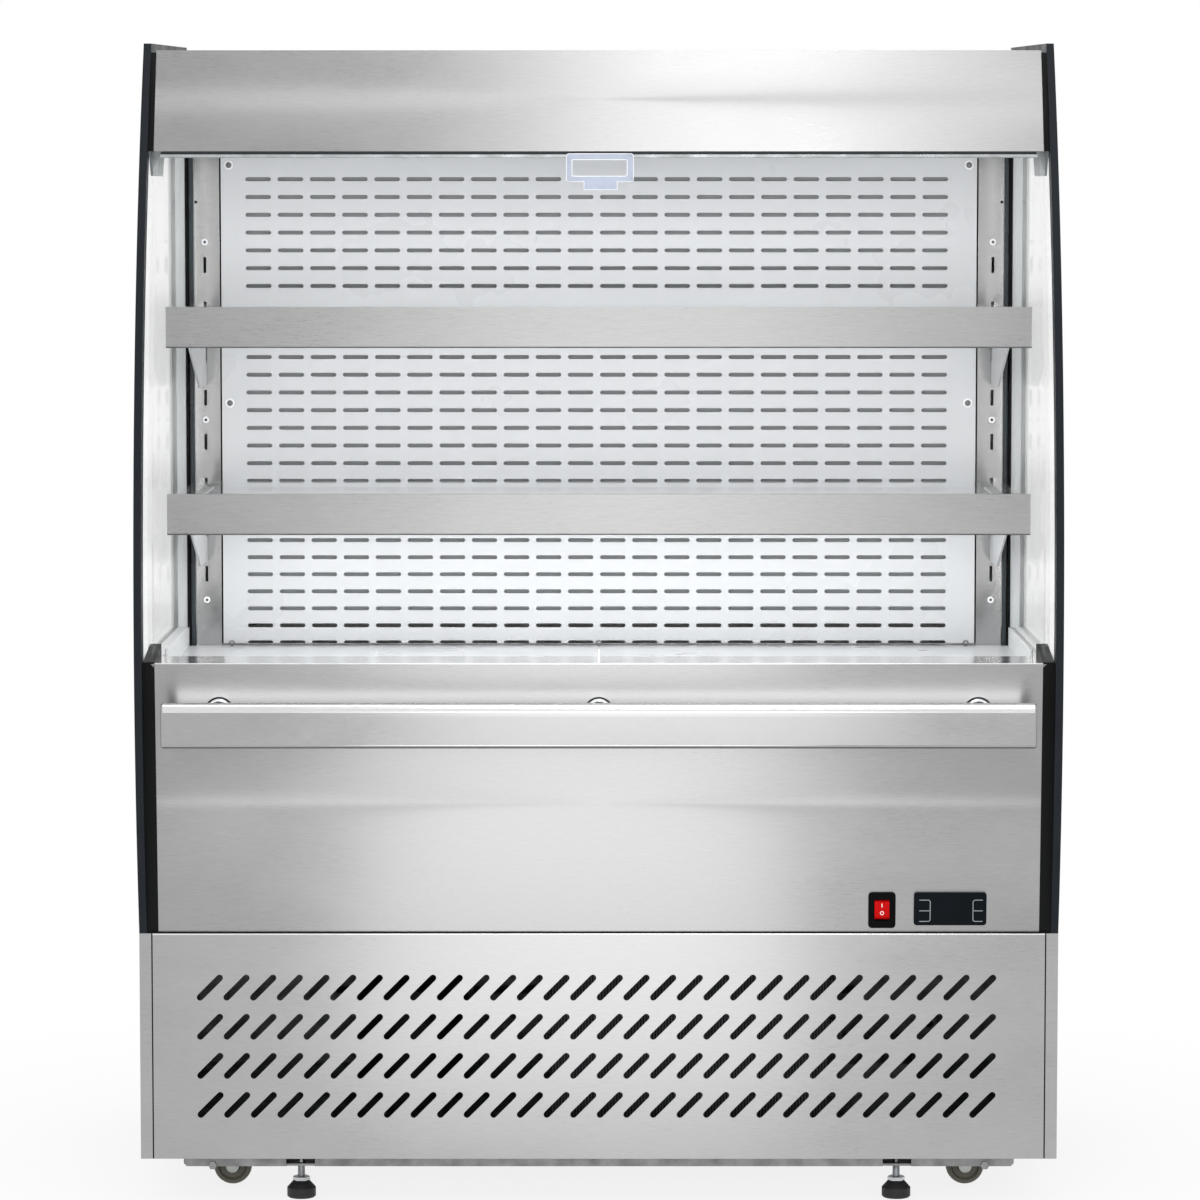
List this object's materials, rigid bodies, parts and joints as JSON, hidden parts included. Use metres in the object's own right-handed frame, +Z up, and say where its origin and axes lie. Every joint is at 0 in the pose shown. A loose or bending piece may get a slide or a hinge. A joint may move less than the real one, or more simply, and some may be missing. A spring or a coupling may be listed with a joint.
{
  "type": "open multideck display fridge",
  "caption": "Free-standing open-front chiller with glass shelves in curved glass sides, slotted base grille, bumper bar, pull-down night curtain, casters and levelling feet.",
  "frame": {"origin": "centre of the footprint on the floor", "axes": "+Z up, +Y to the back, the open front faces -Y, +X to the right seen from the front"},
  "size_m": [1.2, 0.8, 1.53],
  "materials": {
    "frame_steel": "satin",
    "pan_steel": "galvanised",
    "brushed": "brushed",
    "foot_black": "matte",
    "liner": "smooth",
    "column_grey": "satin",
    "clear_glass": "clear",
    "trim_black": "satin",
    "polished": "mirror",
    "satin_bar": "satin",
    "switch_black": "matte",
    "rocker_red": "gloss",
    "controller_black": "matte",
    "liner_steel": "satin",
    "nozzle_white": "matte",
    "lamp_alu": "satin",
    "cloth_grey": "woven",
    "bar_alu": "satin",
    "handle_clear": "translucent",
    "wire_chrome": "bright",
    "compressor_black": "satin",
    "coil_alu": "finned",
    "fan_black": "matte",
    "fork_zinc": "zinc",
    "wheel_grey": "matte"
  },
  "bodies": {
    "cabinet": {"base_frame": "frame_steel", "floor_pan": "pan_steel", "base_grille": "brushed", "rear_cover": "pan_steel", "side_base_panels": "brushed", "side_walls": "liner", "rear_columns": "column_grey", "side_glass": "clear_glass", "side_trims": "trim_black", "tank_floor": "liner", "tank_front_wall": "liner", "rear_wall": "liner", "roof_panel": "liner", "lower_front_panel": "brushed", "front_ledge": "polished", "end_caps": "trim_black", "bumper_bar": "satin_bar", "bumper_standoffs": "polished", "switch_frame": "switch_black", "controller": "controller_black", "canopy_front_panel": "brushed", "canopy_ends": "trim_black", "ceiling_panel": "liner_steel", "air_nozzle": "nozzle_white", "lamp": "lamp_alu", "back_panel": "brushed", "uprights": "brushed", "deck_pan": "liner_steel", "return_grille": "liner_steel", "wire_guard": "wire_chrome", "compressor": "compressor_black", "condenser_coil": "coil_alu", "condenser_shroud": "pan_steel", "evaporator_coil": "coil_alu", "evaporator_fan_plate": "pan_steel", "drain_pan": "pan_steel", "shelf_glass_upper": "clear_glass", "shelf_rail_upper": "brushed", "shelf_brackets_upper": "brushed", "shelf_glass_lower": "clear_glass", "shelf_rail_lower": "brushed", "shelf_brackets_lower": "brushed"},
    "foot_left": {"foot_left": "foot_black"},
    "foot_right": {"foot_right": "foot_black"},
    "rocker": {"switch_rocker": "rocker_red"},
    "curtain_bar": {"curtain_bar": "bar_alu", "curtain_handle": "handle_clear", "curtain_cloth": "cloth_grey"},
    "curtain_roller": {"curtain_roller": "cloth_grey"},
    "condenser_fan": {"condenser_fan": "fan_black"},
    "evaporator_fan_left": {"evaporator_fan_left": "fan_black"},
    "evaporator_fan_right": {"evaporator_fan_right": "fan_black"},
    "caster_fork_front_left": {"caster_fork_front_left": "fork_zinc"},
    "caster_wheel_front_left": {"caster_wheel_front_left": "wheel_grey"},
    "caster_fork_front_right": {"caster_fork_front_right": "fork_zinc"},
    "caster_wheel_front_right": {"caster_wheel_front_right": "wheel_grey"},
    "caster_fork_rear_left": {"caster_fork_rear_left": "fork_zinc"},
    "caster_wheel_rear_left": {"caster_wheel_rear_left": "wheel_grey"},
    "caster_fork_rear_right": {"caster_fork_rear_right": "fork_zinc"},
    "caster_wheel_rear_right": {"caster_wheel_rear_right": "wheel_grey"}
  },
  "joints": [
    {"name": "caster_swivel_front_left", "type": "hinge", "parent": "cabinet", "child": "caster_fork_front_left", "pos_m": [-0.472, -0.174, 0.058], "axis": [0, 0, 1], "continuous": true},
    {"name": "caster_roll_front_left", "type": "hinge", "parent": "caster_fork_front_left", "child": "caster_wheel_front_left", "pos_m": [-0.49, -0.174, 0.0255], "axis": [0, 1, 0], "continuous": true},
    {"name": "caster_swivel_front_right", "type": "hinge", "parent": "cabinet", "child": "caster_fork_front_right", "pos_m": [0.472, -0.174, 0.058], "axis": [0, 0, 1], "continuous": true},
    {"name": "caster_roll_front_right", "type": "hinge", "parent": "caster_fork_front_right", "child": "caster_wheel_front_right", "pos_m": [0.49, -0.174, 0.0255], "axis": [0, 1, 0], "continuous": true},
    {"name": "caster_swivel_rear_left", "type": "hinge", "parent": "cabinet", "child": "caster_fork_rear_left", "pos_m": [-0.472, 0.26, 0.058], "axis": [0, 0, 1], "continuous": true},
    {"name": "caster_roll_rear_left", "type": "hinge", "parent": "caster_fork_rear_left", "child": "caster_wheel_rear_left", "pos_m": [-0.49, 0.26, 0.0255], "axis": [0, 1, 0], "continuous": true},
    {"name": "caster_swivel_rear_right", "type": "hinge", "parent": "cabinet", "child": "caster_fork_rear_right", "pos_m": [0.472, 0.26, 0.058], "axis": [0, 0, 1], "continuous": true},
    {"name": "caster_roll_rear_right", "type": "hinge", "parent": "caster_fork_rear_right", "child": "caster_wheel_rear_right", "pos_m": [0.49, 0.26, 0.0255], "axis": [0, 1, 0], "continuous": true},
    {"name": "foot_screw_left", "type": "slide", "parent": "cabinet", "child": "foot_left", "axis": [0, 0, -1], "range_m": [0, 0.011]},
    {"name": "foot_screw_right", "type": "slide", "parent": "cabinet", "child": "foot_right", "axis": [0, 0, -1], "range_m": [0, 0.011]},
    {"name": "rocker_tilt", "type": "hinge", "parent": "cabinet", "child": "rocker", "pos_m": [0.3695, -0.30847, 0.39042], "axis": [1, 0, 0], "range_deg": [0, 20]},
    {"name": "curtain_pull", "type": "slide", "parent": "cabinet", "child": "curtain_bar", "axis": [0, -0.043, -0.9991], "range_m": [0, 0.65], "stiffness_N_per_m": 12, "springref_m": -1.6, "deforming": ["curtain_cloth"]},
    {"name": "roller_spin", "type": "hinge", "parent": "cabinet", "child": "curtain_roller", "pos_m": [0, -0.171, 1.412], "axis": [1, 0, 0], "range_deg": [0, 2300]},
    {"name": "condenser_fan_spin", "type": "hinge", "parent": "cabinet", "child": "condenser_fan", "pos_m": [0.12, -0.164, 0.18625], "axis": [0, 1, 0], "continuous": true},
    {"name": "evaporator_fan_spin_left", "type": "hinge", "parent": "cabinet", "child": "evaporator_fan_left", "pos_m": [-0.28, -0.104, 0.56], "axis": [0, 1, 0], "continuous": true},
    {"name": "evaporator_fan_spin_right", "type": "hinge", "parent": "cabinet", "child": "evaporator_fan_right", "pos_m": [0.28, -0.104, 0.56], "axis": [0, 1, 0], "continuous": true}
  ],
  "couplings": [
    {"joint": "roller_spin", "follows": "curtain_pull", "rad_per_m": 58.82}
  ]
}
